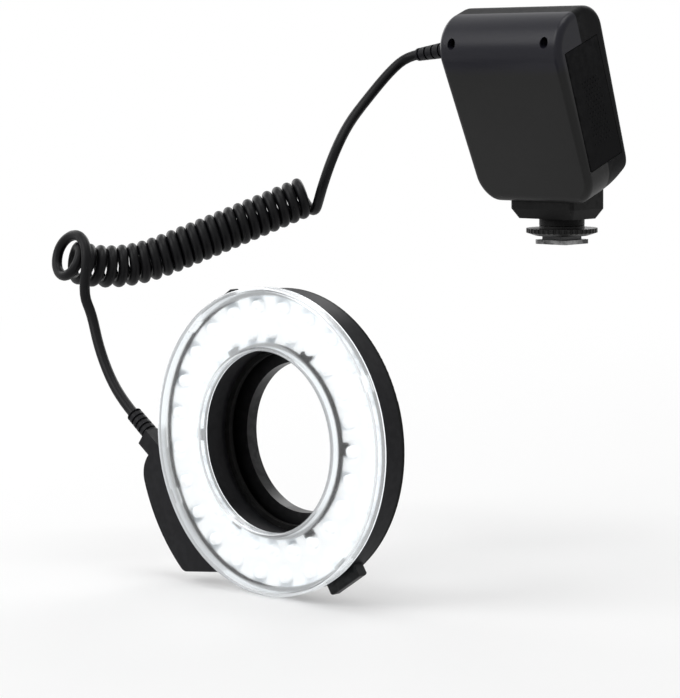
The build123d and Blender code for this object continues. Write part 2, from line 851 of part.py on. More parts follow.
def panel_key(x, y):
    wide = key_width + 2 * flange_margin
    tall = key_height + 2 * flange_margin
    body = key_cap(x, y)
    body += panel_box(x, y, key_width, key_height, -shell_wall - sliding_gap - 0.1, -shell_wall + 0.1)
    return body + push_stem(x, y, lambda low, high: panel_box(x, y, wide, tall, low, high))


def test_key():
    x, y = test_key_x, test_key_y
    top = panel_rod(x, y, test_key_radius, -shell_wall - sliding_gap - 0.1, key_stand)
    body = fillet(top.edges().group_by(Axis.Z)[-1], key_stand / 3)
    return body + push_stem(x, y, lambda low, high: panel_rod(x, y, test_key_radius + flange_margin, low, high))


def board_posts():
    """Posts inside the rear panel that the main board is screwed to."""
    top = main_board_thickness - main_board_depth
    hole = board_screw_radius + seat_gap
    posts = []
    for x, y in board_post_places:
        bar = panel_rod(x, y, board_post_radius, top, -shell_wall / 2)
        posts.append(bar - panel_rod(x, y, hole, top, top + board_screw_reach))
    return posts


def board_screws():
    screws = []
    low = -main_board_depth
    for x, y in board_post_places:
        shank = panel_rod(x, y, board_screw_radius, low, low + main_board_thickness + board_screw_reach - seat_gap)
        screws.append(shank + panel_rod(x, y, board_screw_head_radius, low - board_screw_head, low))
    return Compound(screws)


def board_chips():
    low = -main_board_depth
    return Compound([panel_box(x, y, w, h, low - chip_height, low) for x, y, w, h in chip_places])


def tact_switches():
    low = main_board_thickness - main_board_depth
    switches = []
    for x, y in list(key_places().values()) + [(test_key_x, test_key_y)]:
        base = panel_box(x, y, tact_size, tact_size, low, low + tact_height)
        top = low + tact_height
        switches.append(base - panel_rod(x, y, tact_well_radius, top - tact_well_depth, top + 1))
    return Compound(switches)


def main_board():
    middle = (main_board_top + main_board_bottom) / 2
    height = main_board_top - main_board_bottom
    top = main_board_thickness - main_board_depth
    board = panel_box(0, middle, 2 * main_board_half_width, height, -main_board_depth, top)
    for x, y in board_post_places:
        board -= panel_rod(x, y, board_screw_radius + seat_gap, -main_board_depth - 1, top + 1)
    return board


def display_window():
    pane = panel_box(0, window_y, window_width, window_height, -window_thickness, 0)
    return fillet(pane.edges().filter_by(Axis.Z), window_ledge)


def display_module():
    width = window_width - 2 * window_ledge - 2 * display_margin
    height = window_height - 2 * window_ledge - 2 * display_margin
    return panel_box(0, window_y, width, height, main_board_thickness - main_board_depth,
                     -window_thickness - sliding_gap)


def power_switch():
    low = main_board_thickness - main_board_depth
    x = switch_x - switch_travel / 2
    body = panel_box(x, switch_y, switch_thumb_width, switch_slot_height - 2 * sliding_gap,
                     -shell_wall - sliding_gap - 0.1, switch_stand)
    for i in (-1, 0, 1):
        groove = panel_box(x + i * 1.8, switch_y, 0.7, switch_slot_height, switch_stand - 0.5, switch_stand + 1)
        body -= groove
    slider = switch_thumb_width + 2 * flange_margin
    top = -shell_wall - sliding_gap
    return body + panel_box(x, switch_y, slider, switch_slot_height + 2, low + sliding_gap, top)


def cut_rear_panel(shell):
    """Openings in the rear shell for the window, the keys and the switch."""
    pane = panel_box(0, window_y, window_width, window_height, -window_thickness, 5)
    view = panel_box(0, window_y, window_width - 2 * window_ledge, window_height - 2 * window_ledge, -9, 5)
    cuts = [fillet(pane.edges().filter_by(Axis.Z), window_ledge), view]
    for x, y in key_places().values():
        cuts.append(panel_box(x, y, key_width + 2 * sliding_gap, key_height + 2 * sliding_gap, -9, 5))
    cuts.append(panel_rod(test_key_x, test_key_y, test_key_radius + sliding_gap, -9, 5))
    slot = switch_thumb_width + switch_travel + 2 * sliding_gap
    cuts.append(panel_box(switch_x, switch_y, slot, switch_slot_height, -9, 5))
    shell += [panel_frame * post for post in board_posts()]
    return shell - [panel_frame * cut for cut in cuts]


def foot_bosses(unit_outer):
    """Bosses inside the unit that the foot's screws hold in."""
    bosses = []
    for x in (-foot_screw_x, foot_screw_x):
        bar = Pos(x, 0, foot_boss_top / 2) * Cylinder(foot_boss_radius, foot_boss_top)
        bosses.append(bar & unit_outer)
    return bosses


def foot_screw_holes():
    reach = foot_screw_head + foot_screw_length + 2 * seat_gap
    hole = Pos(0, 0, block_bottom) * extrude(Circle(foot_screw_radius + seat_gap), reach)
    return [Pos(x, 0, 0) * hole for x in (-foot_screw_x, foot_screw_x)]


def foot_block(unit_outer):
    width = 2 * block_half_width
    depth = block_rear - block_front
    middle = (block_rear + block_front) / 2
    low = Pos(0, middle, block_bottom) * RectangleRounded(width, depth, 2.0)
    high = Pos(0, middle, block_bottom + block_flare_height)
    high *= RectangleRounded(width + 2 * block_flare, depth + 2 * block_flare, 2.0)
    body = loft([low, high])
    body += extrude(high, block_top - block_bottom - block_flare_height)
    body += Pos(0, 0, collar_bottom) * extrude(Circle(collar_radius), block_bottom + 1 - collar_bottom)
    body -= unit_outer
    below = Pos(0, middle, block_top / 2) * Box(2 * width, 2 * depth, block_top)
    body = (body & below).solids().sort_by(Axis.Z)[0]
    body -= Pos(0, 0, core_top / 2) * Cylinder(core_socket_radius, core_top)
    for x in (-foot_screw_x, foot_screw_x):
        body -= Pos(x, 0, block_bottom) * Cylinder(foot_screw_head_radius + seat_gap, 2 * foot_screw_head)
    return body - foot_screw_holes()


def foot_screws():
    screws = []
    for x in (-foot_screw_x, foot_screw_x):
        head = Pos(x, 0, block_bottom) * extrude(Circle(foot_screw_head_radius), foot_screw_head)
        shank = extrude(Circle(foot_screw_radius), foot_screw_length)
        screws.append(head + Pos(x, 0, block_bottom + foot_screw_head) * shank)
    return Compound(screws)


def hot_shoe_foot():
    plate = RectangleRounded(shoe_width, shoe_length, shoe_corner)
    body = extrude(plate, shoe_thickness)
    neck = Pos(0, 0, shoe_thickness) * Rectangle(shoe_neck_width, shoe_neck_length)
    body += extrude(neck, rail_thickness)
    core_start = shoe_thickness + rail_thickness
    body += Pos(0, 0, core_start) * extrude(Circle(core_radius), core_top - core_start)
    body -= extrude(Circle(contact_radius + running_gap), contact_step)
    bore = Pos(0, 0, contact_step) * extrude(Circle(contact_head_radius + running_gap), contact_bore_top - contact_step)
    return body - bore


def locking_wheel():
    rim_bottom = wheel_bottom + wheel_cone_height
    rim_top = rim_bottom + wheel_rim
    bore = core_radius + running_gap
    section = Polyline((bore, wheel_bottom), (wheel_cone_radius, wheel_bottom), (wheel_radius, rim_bottom),
                       (wheel_radius, rim_top), (collar_radius, rim_top), (collar_radius, wheel_top),
                       (bore, wheel_top), close=True)
    body = revolve(Plane.XZ * make_face(section), Axis.Z)
    notch = Pos(0, 0, rim_bottom) * Cylinder(wheel_notch_radius, 4 * wheel_rim)
    step = 360 / wheel_notch_count
    return body - [Rot(0, 0, step * i) * Pos(wheel_radius, 0, 0) * notch for i in range(wheel_notch_count)]


def centre_contact():
    pin = extrude(Circle(contact_radius), contact_step + contact_head / 2)
    return pin + Pos(0, 0, contact_step) * extrude(Circle(contact_head_radius), contact_head)


def contact_spring():
    start = contact_step + contact_head
    coil = Circle(contact_head_radius) - Circle(contact_head_radius - contact_spring_wall)
    return Pos(0, 0, start) * extrude(coil, contact_bore_top - start)


def coil_axis():
    """The bowed axis as two smooth pieces that share a tangent, with their lengths."""
    a, b, c, d = (Vector(*p) for p in coil_axis_points)
    pieces = [Bezier(a, b, (b + c) / 2), Bezier((b + c) / 2, c, d)]
    return pieces, [p.length for p in pieces]


def axis_station(pieces, lengths, s):
    """Point, forward direction, up and outward directions at a distance along the axis."""
    total = sum(lengths)
    inside = min(max(s, 0), total)
    piece, before = (pieces[0], 0) if inside < lengths[0] else (pieces[1], lengths[0])
    share = (inside - before) / piece.length
    ahead = (piece % share).normalized()
    point = (piece @ share) + ahead * (s - inside)
    up = (Vector(0, 0, 1) - ahead * ahead.Z).normalized()
    return point, ahead, up, up.cross(ahead)


def smooth(x):
    x = min(max(x, 0), 1)
    return x * x * (3 - 2 * x)


def coil_point(pieces, lengths, turn):
    """Point of the wound cord after a number of turns, from the control unit's end."""
    share = turn / coil_turns
    regular = share * (1 - coil_pitch_growth + coil_pitch_growth * share)
    regular += coil_pitch_swell * sin(2 * pi * share)
    lead = lead_in_shift * max(1 - turn / lead_in_turns, 0) ** 2
    last = max(turn - coil_turns + 1, 0)
    swing = end_loop_swing * sin(pi * last) ** end_loop_swing_power if 0 < last < 1 else 0
    back = end_loop_return * smooth((last - end_loop_return_start) / end_loop_return_turns)
    radius = coil_radius_start + (coil_radius_end - coil_radius_start) * share
    radius += first_turn_rise * (1 - smooth(turn / first_turn_settle))
    radius += end_loop_rise * smooth((last - end_loop_rise_start) / end_loop_rise_turns)
    along = sum(lengths) * regular - lead + swing - back
    point, ahead, up, outward = axis_station(pieces, lengths, along)
    angle = 2 * pi * turn + pi / 2
    return point + (up * cos(angle) + outward * sin(angle)) * radius


def biarc(p, t, q, u):
    """Two arcs from p to q that leave along t and arrive along u."""
    v = q - p
    w = t + u
    a = 2 * (1 - t.dot(u))
    reach = (-v.dot(w) + (v.dot(w) ** 2 + a * v.dot(v)) ** 0.5) / a
    joint = (p + q + (t - u) * reach) / 2
    chord = (joint - p).normalized()
    turned = chord * (2 * t.dot(chord)) - t
    return [TangentArc(p, joint, tangent=t), TangentArc(joint, q, tangent=turned)]


def coil_path():
    """The curly stretch's centre line, with straight ends one cord diameter long."""
    pieces, lengths = coil_axis()
    step = 1e-3
    turns = [coil_first_turn] + [i / arcs_per_turn for i in range(1, coil_turns * arcs_per_turn + 1)]
    spots = []
    for turn in turns:
        before = coil_point(pieces, lengths, max(turn - step, coil_first_turn))
        after = coil_point(pieces, lengths, min(turn + step, coil_turns))
        spots.append((coil_point(pieces, lengths, turn), (after - before).normalized()))
    first, heading = spots[0]
    last, leaving = spots[-1]
    start = first - heading * (2 * cord_radius)
    end = last + leaving * (2 * cord_radius)
    edges = [Line(start, first)]
    for (p, t), (q, u) in zip(spots, spots[1:]):
        edges += biarc(p, t, q, u)
    edges.append(Line(last, end))
    return edges, (start, heading), (end, leaving)


def least_self_gap(edges):
    """Smallest clear distance between different turns of the cord, on points along it."""
    samples = []
    distance = 0
    for edge in edges:
        count = max(int(edge.length / 0.6), 1)
        for i in range(count):
            samples.append((distance + edge.length * i / count, edge @ (i / count)))
        distance += edge.length
    near = 4 * cord_radius + 2 * coil_radius_start
    gap = 1e9
    for i, (s, p) in enumerate(samples):
        for t, q in samples[i + 1:]:
            if near < t - s < 8 * near:
                gap = min(gap, (q - p).length)
    return gap - 2 * cord_radius


def sweep_cord(edges):
    path = Wire(edges)
    start = edges[0]
    section = Plane(origin=start @ 0, z_dir=start % 0) * Circle(cord_radius)
    return sweep(section, path=path)


def tail(name, points):
    """A free stretch of cord along straight runs joined by arcs as large as the runs allow."""
    radii = []
    turns = []
    for a, b, c in zip(points, points[1:], points[2:]):
        turn = radians((b - a).get_angle(c - b))
        turns.append(round(degrees(turn)))
        radii.append(0.45 * min((b - a).length, (c - b).length) / tan(turn / 2))
    path = FilletPolyline(*points, radius=radii)
    solid = sweep_cord(path.edges())
    ideal = pi * cord_radius ** 2 * path.length
    runs = [round((b - a).length, 1) for a, b in zip(points, points[1:])]
    print(name, "length", round(path.length, 1), "runs", runs, "turns", turns,
          "radii", [round(r, 1) for r in radii], "volume ratio", round(solid.volume / ideal, 4))
    return solid


def relief_end(frame, length):
    """Tip of a strain relief and the direction in which the cord leaves it."""
    return frame.from_local_coords(Vector(length, 0, 0)), frame.x_dir


def make_cord():
    edges, (coil_start, heading), (coil_end, leaving) = coil_path()
    length = sum(e.length for e in edges)
    radii = [e.radius for e in edges if e.geom_type == GeomType.CIRCLE]
    print("coil length", round(length, 1), "tightest", round(min(radii), 2),
          "least gap", round(least_self_gap(edges), 2))
    keep("cord_coil", sweep_cord(edges))
    print("coil volume ratio", round(nodes["cord_coil"].volume / (pi * cord_radius ** 2 * length), 4))
    unit_tip, out = relief_end(unit_relief_frame(), unit_relief_length)
    upper = [unit_tip, unit_tip + out * tail_exit] + [Vector(*p) for p in upper_route]
    upper += [coil_start - heading * tail_lead, coil_start]
    keep("cord_upper", tail("upper", upper))
    base = ring_frame.from_local_coords(Vector(*ring_relief_base, -ring_relief_depth))
    tip = ring_frame.from_local_coords(Vector(*ring_relief_tip, -ring_relief_depth))
    out = (tip - base).normalized()
    lower = [coil_end, coil_end + leaving * tail_lead] + [Vector(*p) for p in lower_route]
    lower += [tip + out * tail_exit, tip]
    keep("cord_lower", tail("lower", lower))


def make_ring_head():
    keep("clear_cover", clear_cover(), ring_frame)
    keep("led_board", led_board(), ring_frame)
    keep("reflector", reflector(), ring_frame)
    keep("leds", leds(), ring_frame)
    keep("ring_housing", ring_housing(), ring_frame)
    keep("ring_back_cover", ring_back_cover(), ring_frame)
    keep("ring_screws", ring_screws(), ring_frame)
    for side, angle in button_angles.items():
        keep(f"release_button_{side}", release_button(angle), ring_frame)
        keep(f"release_spring_{side}", release_spring(angle), ring_frame)
    keep("adapter_ring", adapter_ring(), ring_frame)
    keep("ring_strain_relief", ring_strain_relief(), ring_frame)


def make_unit():
    outer = unit_form(0)
    hollow = unit_form(shell_wall)
    front, rear = unit_shells(outer, hollow)
    relief = unit_relief_frame()
    hole = relief * Rot(0, 90, 0) * Cylinder(unit_relief_radius + seat_gap, 4 * unit_relief_length)
    placed_front = unit_frame * front - hole
    keep("unit_front_shell", placed_front)
    unit_outer = unit_frame * outer
    placed_rear = unit_frame * cut_rear_panel(rear) + foot_bosses(unit_outer)
    keep("unit_rear_shell", placed_rear - foot_screw_holes())
    keep("unit_strain_relief", unit_strain_relief(), relief)
    keep("shell_screws", shell_screws(), unit_frame)
    keep("battery_tray", battery_tray(), unit_frame)
    keep("battery_cells", battery_cells(), unit_frame)
    keep("cell_springs", cell_springs(), unit_frame)
    keep("battery_door", battery_door(outer, hollow), unit_frame)
    keep("door_contacts", door_contacts(), unit_frame)
    keep("door_hinge_pin", hinge_pin(), unit_frame)
    panel = unit_frame.location * panel_frame.location
    keep("main_board", panel * main_board())
    keep("board_screws", panel * board_screws())
    keep("board_chips", panel * board_chips())
    keep("tact_switches", panel * tact_switches())
    keep("display_module", panel * display_module())
    keep("display_window", panel * display_window())
    for name, (x, y) in key_places().items():
        keep(f"{name}_button", panel * panel_key(x, y))
    keep("test_button", panel * test_key())
    keep("power_switch", panel * power_switch())
    return unit_outer


def make_foot(unit_outer):
    keep("foot_block", foot_block(unit_outer))
    keep("foot_screws", foot_screws())
    keep("hot_shoe_foot", hot_shoe_foot())
    keep("locking_wheel", locking_wheel())
    keep("centre_contact", centre_contact())
    keep("contact_spring", contact_spring())


make_ring_head()
make_foot(make_unit())
make_cord()
for name, shape in nodes.items():
    export_step(shape, f"parts/{name}.step")
print(len(nodes), "nodes")
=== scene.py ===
from math import atan, cos, pi, radians, sin

import bmesh
import bpy
from mathutils import Matrix, Vector


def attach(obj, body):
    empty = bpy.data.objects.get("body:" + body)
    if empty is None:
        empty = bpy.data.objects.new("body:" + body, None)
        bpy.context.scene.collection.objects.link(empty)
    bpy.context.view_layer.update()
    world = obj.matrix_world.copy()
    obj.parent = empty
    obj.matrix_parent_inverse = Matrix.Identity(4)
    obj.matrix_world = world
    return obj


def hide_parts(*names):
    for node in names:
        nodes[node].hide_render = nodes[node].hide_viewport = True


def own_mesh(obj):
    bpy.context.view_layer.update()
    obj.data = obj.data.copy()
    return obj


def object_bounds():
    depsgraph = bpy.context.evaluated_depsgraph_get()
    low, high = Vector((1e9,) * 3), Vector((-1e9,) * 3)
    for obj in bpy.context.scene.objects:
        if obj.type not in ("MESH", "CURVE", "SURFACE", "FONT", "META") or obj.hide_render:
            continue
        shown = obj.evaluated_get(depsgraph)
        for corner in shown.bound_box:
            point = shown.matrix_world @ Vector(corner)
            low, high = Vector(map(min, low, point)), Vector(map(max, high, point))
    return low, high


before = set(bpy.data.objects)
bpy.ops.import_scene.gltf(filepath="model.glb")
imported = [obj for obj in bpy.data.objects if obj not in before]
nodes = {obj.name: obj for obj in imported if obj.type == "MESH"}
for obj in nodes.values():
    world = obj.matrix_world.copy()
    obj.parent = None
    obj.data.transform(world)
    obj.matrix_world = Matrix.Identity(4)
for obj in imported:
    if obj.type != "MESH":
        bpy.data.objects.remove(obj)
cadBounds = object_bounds()
print("stage 1: frame loaded,", len(nodes), "pieces")

# Where the ring head and the control unit stand, in metres and degrees; a slope is a plain ratio
layout = {
    "ringReach": 0.1984,
    "ringDrop": 0.073,
    "unitLean": 21.2,
    "panelHeight": 0.072,
    "panelDepth": 0.022243,
    "panelSlope": 0.03358,
    "sideSlope": 0.02596,
    "sideBottom": 0.0336,
    "unitBottom": 0.0238,
}
lean = radians(layout["unitLean"])
unitMatrix = Matrix((
    (1, 0, 0, 0),
    (0, cos(lean), -sin(lean), 0),
    (0, sin(lean), cos(lean), 0),
    (0, 0, 0, 1),
))
ringCentre = Vector((0, -layout["ringReach"], -layout["ringDrop"]))
slope = atan(layout["panelSlope"])
panelMatrix = unitMatrix @ Matrix((
    (-1, 0, 0, 0),
    (0, sin(slope), cos(slope), layout["panelDepth"]),
    (0, cos(slope), -sin(slope), layout["panelHeight"]),
    (0, 0, 0, 1),
))


# Camera at the photograph's viewing angle
cameraSet = {
    "place": (0.7945, -0.986, 0.0832),
    "azimuth": 43.58,
    "elevation": 5.973,
    "roll": -0.4217,
    "lens": 139.31,
    "sensor": 36.0,
    "sight": 50,
}


def placeCamera(c):
    az, el, roll = (radians(c[k]) for k in ("azimuth", "elevation", "roll"))
    back = Vector((sin(az) * cos(el), -cos(az) * cos(el), sin(el)))
    level = (-back).cross(Vector((0, 0, 1))).normalized()
    rise = back.cross(level)
    right = level * cos(roll) + rise * sin(roll)
    up = rise * cos(roll) - level * sin(roll)
    data = bpy.data.cameras.new("photoCamera")
    data.lens = c["lens"]
    data.sensor_fit = "VERTICAL"
    data.sensor_height = c["sensor"]
    data.clip_end = c["sight"]
    camera = bpy.data.objects.new("photoCamera", data)
    turn = Matrix((right, up, back)).transposed().to_4x4()
    camera.matrix_world = Matrix.Translation(c["place"]) @ turn
    bpy.context.scene.collection.objects.link(camera)
    bpy.context.scene.camera = camera


placeCamera(cameraSet)
bpy.context.scene.view_settings.view_transform = "Standard"


# Small helpers for shader trees
def addNode(tree, kind, **values):
    node = tree.nodes.new(kind)
    for key, value in values.items():
        if hasattr(node, key):
            setattr(node, key, value)
        else:
            node.inputs[key].default_value = value
    return node


def feed(tree, value, socket):
    if isinstance(value, bpy.types.NodeSocket):
        tree.links.new(value, socket)
    else:
        socket.default_value = value


def mathNode(tree, operation, a, b=None, c=None):
    node = addNode(tree, "ShaderNodeMath", operation=operation)
    for socket, value in zip(node.inputs, (a, b, c)):
        if value is not None:
            feed(tree, value, socket)
    return node.outputs[0]


# Mixes two colours or two numbers; the numbers are the node's own sockets for each kind
mixSockets = {"RGBA": (6, 7, 2), "FLOAT": (2, 3, 0)}


def mixNode(tree, mask, first, second, kind="RGBA"):
    node = addNode(tree, "ShaderNodeMix", data_type=kind)
    low, high, result = mixSockets[kind]
    tree.links.new(mask, node.inputs["Factor"])
    feed(tree, first, node.inputs[low])
    feed(tree, second, node.inputs[high])
    return node.outputs[result]


def rampNode(tree, value, low, high, toLow=0.0, toHigh=1.0):
    node = tree.nodes.new("ShaderNodeMapRange")
    node.interpolation_type = "SMOOTHSTEP"
    for name, number in (("From Min", low), ("From Max", high), ("To Min", toLow), ("To Max", toHigh)):
        node.inputs[name].default_value = number
    tree.links.new(value, node.inputs["Value"])
    return node.outputs["Result"]


def newGroup(name, inputs, outputs):
    tree = bpy.data.node_groups.new(name, "ShaderNodeTree")
    for socketName, kind, value in inputs:
        socket = tree.interface.new_socket(name=socketName, in_out="INPUT", socket_type=kind)
        socket.default_value = value
    for socketName, kind in outputs:
        tree.interface.new_socket(name=socketName, in_out="OUTPUT", socket_type=kind)
    return tree, tree.nodes.new("NodeGroupInput"), tree.nodes.new("NodeGroupOutput")


def objectPlace(tree):
    return tree.nodes.new("ShaderNodeTexCoord").outputs["Object"]


def noiseNode(tree, scale, **values):
    node = addNode(tree, "ShaderNodeTexNoise", **values)
    tree.links.new(objectPlace(tree), node.inputs["Vector"])
    feed(tree, scale, node.inputs["Scale"])
    return node.outputs["Fac"]


# Fine moulded texture: soft noise with small pits
def buildGrain():
    tree, start, end = newGroup(
        "mouldedGrain",
        [("Scale", "NodeSocketFloat", 1500), ("Pits", "NodeSocketFloat", 0.4)],
        [("Height", "NodeSocketFloat")])
    noise = noiseNode(tree, start.outputs["Scale"], Detail=3.0, Roughness=0.6)
    pits = addNode(tree, "ShaderNodeTexVoronoi")
    tree.links.new(objectPlace(tree), pits.inputs["Vector"])
    tree.links.new(start.outputs["Scale"], pits.inputs["Scale"])
    dip = mathNode(tree, "MULTIPLY", pits.outputs["Distance"], start.outputs["Pits"])
    tree.links.new(mathNode(tree, "ADD", noise, dip), end.inputs["Height"])
    return tree


# Colour that drifts a little over the surface
def buildTone():
    tree, start, end = newGroup(
        "toneDrift",
        [("Color", "NodeSocketColor", (0.5, 0.5, 0.5, 1)), ("Amount", "NodeSocketFloat", 0.2),
         ("Scale", "NodeSocketFloat", 40)],
        [("Color", "NodeSocketColor")])
    noise = noiseNode(tree, start.outputs["Scale"], Detail=4.0, Roughness=0.65)
    drift = mathNode(tree, "MULTIPLY", mathNode(tree, "SUBTRACT", noise, 0.5), start.outputs["Amount"])
    shade = addNode(tree, "ShaderNodeHueSaturation")
    value = mathNode(tree, "MULTIPLY_ADD", drift, 2.0, 1.0)     # 1 leaves the colour alone
    tree.links.new(value, shade.inputs["Value"])
    tree.links.new(start.outputs["Color"], shade.inputs["Color"])
    tree.links.new(shade.outputs["Color"], end.inputs["Color"])
    return tree


# Roughness with faint handling marks
def buildHandling():
    tree, start, end = newGroup(
        "handlingMarks",
        [("Roughness", "NodeSocketFloat", 0.4), ("Marks", "NodeSocketFloat", 0.1),
         ("Scale", "NodeSocketFloat", 60)],
        [("Roughness", "NodeSocketFloat")])
    broad = noiseNode(tree, start.outputs["Scale"], Detail=5.0, Roughness=0.7, Distortion=0.6)
    change = mathNode(tree, "MULTIPLY", mathNode(tree, "SUBTRACT", broad, 0.5), start.outputs["Marks"])
    tree.links.new(mathNode(tree, "ADD", start.outputs["Roughness"], change), end.inputs["Roughness"])
    return tree


# Worn and rubbed edges, brighter where the surface is sharp
rubSet = {
    "sharp": (0.52, 0.62),
    "breakScale": 300.0,
    "breakRange": (0.35, 0.65),
}


def buildEdgeRub():
    tree, start, end = newGroup(
        "edgeRub",
        [("Color", "NodeSocketColor", (0.1, 0.1, 0.1, 1)),
         ("Rubbed", "NodeSocketColor", (0.3, 0.3, 0.3, 1)),
         ("Amount", "NodeSocketFloat", 0.5)],
        [("Color", "NodeSocketColor"), ("Mask", "NodeSocketFloat")])
    edge = tree.nodes.new("ShaderNodeNewGeometry").outputs["Pointiness"]
    sharp = rampNode(tree, edge, *rubSet["sharp"])
    noise = noiseNode(tree, rubSet["breakScale"], Detail=4.0)
    broken = mathNode(tree, "MULTIPLY", sharp, rampNode(tree, noise, *rubSet["breakRange"]))
    mask = mathNode(tree, "MULTIPLY", broken, start.outputs["Amount"])
    tree.links.new(mixNode(tree, mask, start.outputs["Color"], start.outputs["Rubbed"]), end.inputs["Color"])
    tree.links.new(mask, end.inputs["Mask"])
    return tree


# Distance from the ring's middle, and the direction there
def ringPlace(tree):
    parts = tree.nodes.new("ShaderNodeSeparateXYZ")
    tree.links.new(objectPlace(tree), parts.inputs[0])
    across = parts.outputs["X"]
    rise = mathNode(tree, "ADD", parts.outputs["Z"], layout["ringDrop"])
    square = mathNode(tree, "MULTIPLY", rise, rise)
    radius = mathNode(tree, "SQRT", mathNode(tree, "MULTIPLY_ADD", across, across, square))
    return radius, mathNode(tree, "ARCTAN2", rise, across)


# Light of the diodes on the white plate: dimmer in the gaps along both walls
glowSet = {
    "outerGap": (0.6, -0.8),        # where the gaps lie between the diodes of each circle
    "innerGap": (-0.6, 0.8),
    "outerWall": (0.0535, 0.0590),
    "innerWall": (0.0480, 0.0435),
    "patchScale": 28.0,
    "patchRange": (0.38, 0.62, 0.25, 1.0),
    "lit": (0.97, 0.985, 1.0, 1),
    "shaded": (0.24, 0.27, 0.30, 1),
}


def buildGlow():
    tree, start, end = newGroup(
        "ringGlow",
        [("Count", "NodeSocketFloat", 24), ("Dim", "NodeSocketFloat", 0.5)],
        [("Color", "NodeSocketColor"), ("Mask", "NodeSocketFloat")])
    radius, angle = ringPlace(tree)
    turns = mathNode(tree, "COSINE", mathNode(tree, "MULTIPLY", angle, start.outputs["Count"]))
    outer, inner = (
        mathNode(tree, "MULTIPLY", rampNode(tree, turns, *glowSet[side + "Gap"]),
                 rampNode(tree, radius, *glowSet[side + "Wall"])) for side in ("outer", "inner"))
    noise = noiseNode(tree, glowSet["patchScale"], Detail=1.0)
    patchy = rampNode(tree, noise, *glowSet["patchRange"])
    gaps = mathNode(tree, "MULTIPLY", mathNode(tree, "MAXIMUM", outer, inner), patchy)
    mask = mathNode(tree, "MULTIPLY", gaps, start.outputs["Dim"])
    tree.links.new(mixNode(tree, mask, glowSet["lit"], glowSet["shaded"]), end.inputs["Color"])
    tree.links.new(mask, end.inputs["Mask"])
    return tree


# Light that the clear cover's rim and inner wall carry out of the ring
rimSet = {
    "outer": 0.0600,
    "inner": 0.0434,
    "softness": 0.0012,
    "unlit": (0, 0, 0, 1),
}


def buildRimLight():
    tree, start, end = newGroup(
        "rimLight",
        [("Color", "NodeSocketColor", (0.8, 0.82, 0.84, 1)),
         ("Outer", "NodeSocketFloat", rimSet["outer"]), ("Inner", "NodeSocketFloat", rimSet["inner"])],
        [("Color", "NodeSocketColor"), ("Mask", "NodeSocketFloat")])
    radius = ringPlace(tree)[0]
    past = mathNode(tree, "SUBTRACT", radius, start.outputs["Outer"])
    short = mathNode(tree, "SUBTRACT", start.outputs["Inner"], radius)
    mask = rampNode(tree, mathNode(tree, "MAXIMUM", past, short), 0.0, rimSet["softness"])
    tree.links.new(mixNode(tree, mask, rimSet["unlit"], start.outputs["Color"]), end.inputs["Color"])
    tree.links.new(mask, end.inputs["Mask"])
    return tree


grainGroup = buildGrain()
toneGroup = buildTone()
handlingGroup = buildHandling()
rubGroup = buildEdgeRub()
glowGroup = buildGlow()
rimGroup = buildRimLight()
print("stage 2: shader groups built")


def placeGroup(tree, group, **values):
    node = tree.nodes.new("ShaderNodeGroup")
    node.node_tree = group
    for key, value in values.items():
        node.inputs[key].default_value = value
    return node


# What a finish has where its own entry says nothing
plainLook = {
    "drift": 0.15,
    "driftScale": 45,
    "rub": 0.35,
    "rubGain": 2.2,
    "rubLift": 0.02,
    "marks": 0.05,
    "marksScale": 70,
    "grain": 0.15,
    "grainScale": 1600,
    "grainDepth": 0.0002,
    "pits": 0.3,
    "metallic": 0,
    "specular": 0.4,
    "coat": 0,
    "coatRoughness": 0.15,
}


def newMaterial(name):
    material = bpy.data.materials.new(name)
    material.use_nodes = True
    tree = material.node_tree
    return material, tree, tree.nodes["Principled BSDF"]


def addTone(tree, shader, look):
    tone = placeGroup(tree, toneGroup, Color=(*look["colour"], 1), Amount=look["drift"],
                      Scale=look["driftScale"])
    tree.links.new(tone.outputs["Color"], shader.inputs["Base Color"])
    return tone.outputs["Color"]


def addRub(tree, shader, look, colour):
    paler = tuple(min(c * look["rubGain"] + look["rubLift"], 1) for c in look["colour"])
    rubbed = look.get("rubbed", paler)
    rub = placeGroup(tree, rubGroup, Rubbed=(*rubbed, 1), Amount=look["rub"])
    tree.links.new(colour, rub.inputs["Color"])
    tree.links.new(rub.outputs["Color"], shader.inputs["Base Color"])


def addGloss(tree, shader, look):
    marks = placeGroup(tree, handlingGroup, Roughness=look["roughness"], Marks=look["marks"],
                       Scale=look["marksScale"])
    tree.links.new(marks.outputs["Roughness"], shader.inputs["Roughness"])
    grain = placeGroup(tree, grainGroup, Scale=look["grainScale"], Pits=look["pits"])
    bump = addNode(tree, "ShaderNodeBump", Strength=look["grain"], Distance=look["grainDepth"])
    tree.links.new(grain.outputs["Height"], bump.inputs["Height"])
    tree.links.new(bump.outputs["Normal"], shader.inputs["Normal"])
    for socket, key in (("Metallic", "metallic"), ("Specular IOR Level", "specular"),
                        ("Coat Weight", "coat"), ("Coat Roughness", "coatRoughness")):
        shader.inputs[socket].default_value = look[key]


# One opaque surface, from its colour, wear, texture and gloss
def makeSurface(name, look):
    look = {**plainLook, **look}
    material, tree, shader = newMaterial(name)
    addRub(tree, shader, look, addTone(tree, shader, look))
    addGloss(tree, shader, look)
    return material


